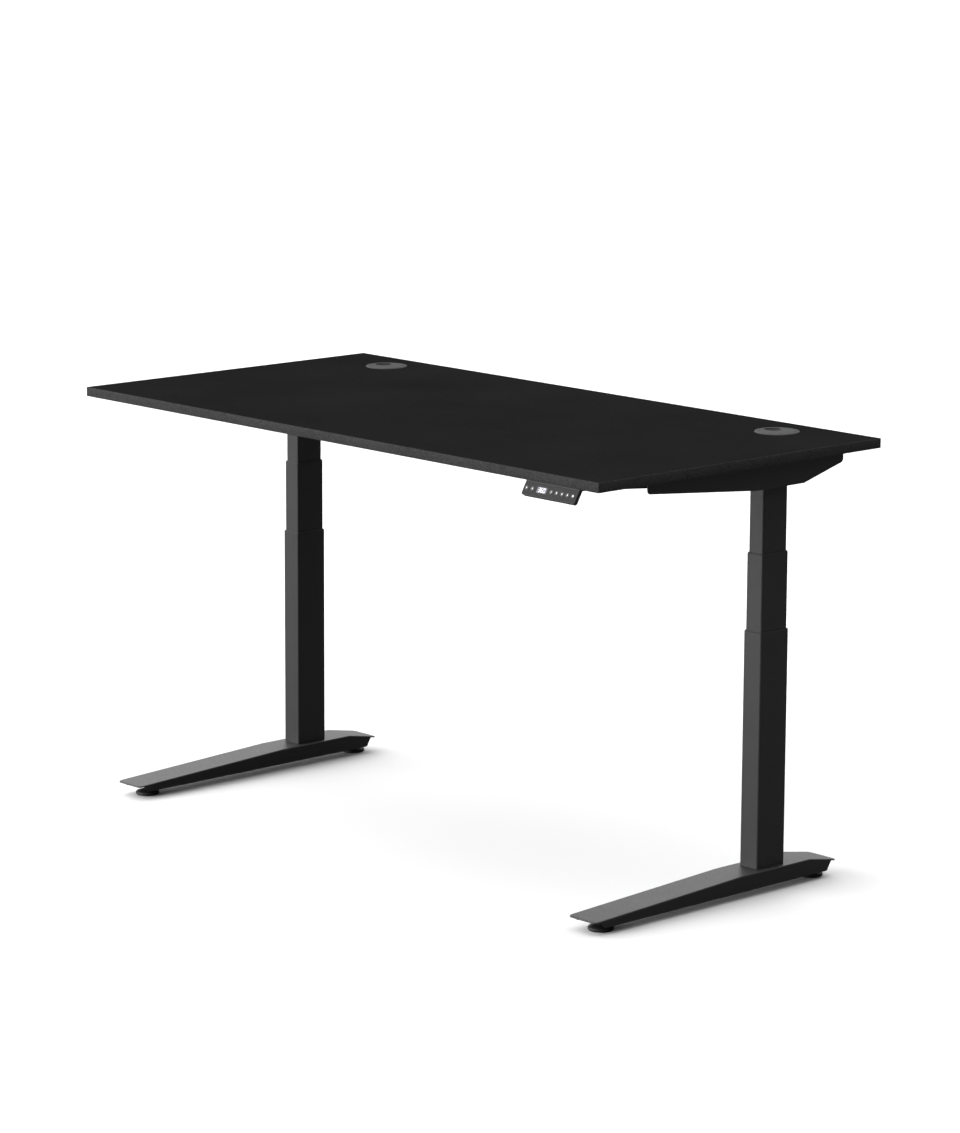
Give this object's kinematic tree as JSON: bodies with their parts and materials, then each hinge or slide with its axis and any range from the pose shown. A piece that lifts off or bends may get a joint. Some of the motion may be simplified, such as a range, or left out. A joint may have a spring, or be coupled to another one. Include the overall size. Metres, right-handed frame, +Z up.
{
  "type": "height adjustable standing desk",
  "caption": "Rectangular black desk on two electric telescopic columns with long flat feet, a handset under the front edge and cable grommets.",
  "frame": {"origin": "on the floor, under the middle of the desk's plan including the handset", "axes": "+X to the user's right along the desktop's long side, +Y to the back, +Z up"},
  "size_m": [1.6, 0.815, 0.917],
  "materials": {
    "powder_coat": "fine textured satin black powder coat",
    "zinc_steel": "black zinc plated",
    "screw_steel": "rolled and lightly greased",
    "leveller_plastic": "moulded, matt",
    "bush_plastic": "moulded, matt",
    "nut_plastic": "moulded acetal",
    "gearbox_casting": "die cast",
    "motor_steel": "black painted can",
    "grommet_plastic": "moulded, fine spark texture",
    "laminate": "black matt laminate on particle board",
    "edge_plastic": "fine grained strip",
    "box_plastic": "moulded, matt",
    "circuit_board": "solder mask",
    "fascia_plastic": "fine textured",
    "display_window": "clear smoked",
    "key_plastic": "matt with printed white symbols"
  },
  "bodies": {
    "left_leg": {"left_foot": "powder_coat", "left_foot_bolts": "zinc_steel", "left_outer_tube": "powder_coat", "left_outer_bush": "bush_plastic", "left_base_screw": "screw_steel"},
    "left_front_leveller": {"left_front_leveller": "leveller_plastic"},
    "left_rear_leveller": {"left_rear_leveller": "leveller_plastic"},
    "left_stage": {"left_middle_tube": "powder_coat", "left_middle_bush": "bush_plastic", "left_middle_glide": "bush_plastic", "left_nut_tube": "screw_steel", "left_lift_nut": "nut_plastic"},
    "left_drive": {"left_drive_tube": "screw_steel"},
    "left_screw": {"left_lift_screw": "screw_steel"},
    "left_lid": {"left_grommet_lid": "grommet_plastic"},
    "right_leg": {"right_foot": "powder_coat", "right_foot_bolts": "zinc_steel", "right_outer_tube": "powder_coat", "right_outer_bush": "bush_plastic", "right_base_screw": "screw_steel"},
    "right_front_leveller": {"right_front_leveller": "leveller_plastic"},
    "right_rear_leveller": {"right_rear_leveller": "leveller_plastic"},
    "right_stage": {"right_middle_tube": "powder_coat", "right_middle_bush": "bush_plastic", "right_middle_glide": "bush_plastic", "right_nut_tube": "screw_steel", "right_lift_nut": "nut_plastic"},
    "right_drive": {"right_drive_tube": "screw_steel"},
    "right_screw": {"right_lift_screw": "screw_steel"},
    "right_lid": {"right_grommet_lid": "grommet_plastic"},
    "down_key": {"down_key": "key_plastic"},
    "up_key": {"up_key": "key_plastic"},
    "preset_1_key": {"preset_1_key": "key_plastic"},
    "preset_2_key": {"preset_2_key": "key_plastic"},
    "preset_3_key": {"preset_3_key": "key_plastic"},
    "preset_4_key": {"preset_4_key": "key_plastic"},
    "memory_key": {"memory_key": "key_plastic"},
    "top_frame": {"left_inner_tube": "powder_coat", "left_inner_glide": "bush_plastic", "left_gearbox": "gearbox_casting", "left_motor": "motor_steel", "left_bracket": "powder_coat", "right_inner_tube": "powder_coat", "right_inner_glide": "bush_plastic", "right_gearbox": "gearbox_casting", "right_motor": "motor_steel", "right_bracket": "powder_coat", "desktop_board": "laminate", "edge_band": "edge_plastic", "grommet_liners": "grommet_plastic", "front_rail": "powder_coat", "rear_rail": "powder_coat", "frame_bolts": "zinc_steel", "desktop_screws": "zinc_steel", "control_box": "box_plastic", "control_board": "circuit_board", "handset_housing": "box_plastic", "handset_face": "fascia_plastic", "handset_display": "display_window", "handset_board": "circuit_board"}
  },
  "joints": [
    {"name": "left_lower_slide", "type": "slide", "parent": "left_leg", "child": "left_stage", "axis": [0, 0, 1], "range_m": [-0.137, 0.188]},
    {"name": "left_upper_slide", "type": "slide", "parent": "left_stage", "child": "top_frame", "axis": [0, 0, 1], "range_m": [-0.137, 0.188]},
    {"name": "right_upper_slide", "type": "slide", "parent": "top_frame", "child": "right_stage", "axis": [0, 0, -1], "range_m": [-0.137, 0.188]},
    {"name": "right_lower_slide", "type": "slide", "parent": "right_stage", "child": "right_leg", "axis": [0, 0, -1], "range_m": [-0.137, 0.188]},
    {"name": "left_drive_spin", "type": "hinge", "parent": "left_stage", "child": "left_drive", "pos_m": [-0.722, 0.1615, 0.21], "axis": [0, 0, 1], "range_deg": [-4116, 5646]},
    {"name": "left_screw_spin", "type": "hinge", "parent": "top_frame", "child": "left_screw", "pos_m": [-0.722, 0.1615, 0.8455], "axis": [0, 0, 1], "range_deg": [-4116, 5646]},
    {"name": "left_front_leveller_screw", "type": "slide", "parent": "left_leg", "child": "left_front_leveller", "axis": [0, 0, -1], "range_m": [-0.003, 0.006]},
    {"name": "left_rear_leveller_screw", "type": "slide", "parent": "left_leg", "child": "left_rear_leveller", "axis": [0, 0, -1], "range_m": [-0.003, 0.006]},
    {"name": "left_lid_turn", "type": "hinge", "parent": "top_frame", "child": "left_lid", "pos_m": [-0.605, 0.3075, 0.915], "axis": [0, 0, 1], "continuous": true},
    {"name": "right_drive_spin", "type": "hinge", "parent": "right_stage", "child": "right_drive", "pos_m": [0.722, 0.1615, 0.21], "axis": [0, 0, 1], "range_deg": [-4116, 5646]},
    {"name": "right_screw_spin", "type": "hinge", "parent": "top_frame", "child": "right_screw", "pos_m": [0.722, 0.1615, 0.8455], "axis": [0, 0, 1], "range_deg": [-4116, 5646]},
    {"name": "right_front_leveller_screw", "type": "slide", "parent": "right_leg", "child": "right_front_leveller", "axis": [0, 0, -1], "range_m": [-0.003, 0.006]},
    {"name": "right_rear_leveller_screw", "type": "slide", "parent": "right_leg", "child": "right_rear_leveller", "axis": [0, 0, -1], "range_m": [-0.003, 0.006]},
    {"name": "right_lid_turn", "type": "hinge", "parent": "top_frame", "child": "right_lid", "pos_m": [0.605, 0.3075, 0.915], "axis": [0, 0, 1], "continuous": true},
    {"name": "down_press", "type": "slide", "parent": "top_frame", "child": "down_key", "axis": [0, 0.866, -0.5], "range_m": [0, 0.0005], "stiffness_N_per_m": 1000},
    {"name": "up_press", "type": "slide", "parent": "top_frame", "child": "up_key", "axis": [0, 0.866, -0.5], "range_m": [0, 0.0005], "stiffness_N_per_m": 1000},
    {"name": "preset_1_press", "type": "slide", "parent": "top_frame", "child": "preset_1_key", "axis": [0, 0.866, -0.5], "range_m": [0, 0.0005], "stiffness_N_per_m": 1000},
    {"name": "preset_2_press", "type": "slide", "parent": "top_frame", "child": "preset_2_key", "axis": [0, 0.866, -0.5], "range_m": [0, 0.0005], "stiffness_N_per_m": 1000},
    {"name": "preset_3_press", "type": "slide", "parent": "top_frame", "child": "preset_3_key", "axis": [0, 0.866, -0.5], "range_m": [0, 0.0005], "stiffness_N_per_m": 1000},
    {"name": "preset_4_press", "type": "slide", "parent": "top_frame", "child": "preset_4_key", "axis": [0, 0.866, -0.5], "range_m": [0, 0.0005], "stiffness_N_per_m": 1000},
    {"name": "memory_press", "type": "slide", "parent": "top_frame", "child": "memory_key", "axis": [0, 0.866, -0.5], "range_m": [0, 0.0005], "stiffness_N_per_m": 1000}
  ],
  "couplings": [
    {"joint": "left_upper_slide", "follows": "left_lower_slide", "ratio": 1},
    {"joint": "right_upper_slide", "follows": "left_lower_slide", "ratio": 1},
    {"joint": "right_lower_slide", "follows": "left_lower_slide", "ratio": 1},
    {"joint": "left_drive_spin", "follows": "left_lower_slide", "rad_per_m": 523.6},
    {"joint": "left_screw_spin", "follows": "left_lower_slide", "rad_per_m": 523.6},
    {"joint": "right_drive_spin", "follows": "left_lower_slide", "rad_per_m": 523.6},
    {"joint": "right_screw_spin", "follows": "left_lower_slide", "rad_per_m": 523.6}
  ]
}
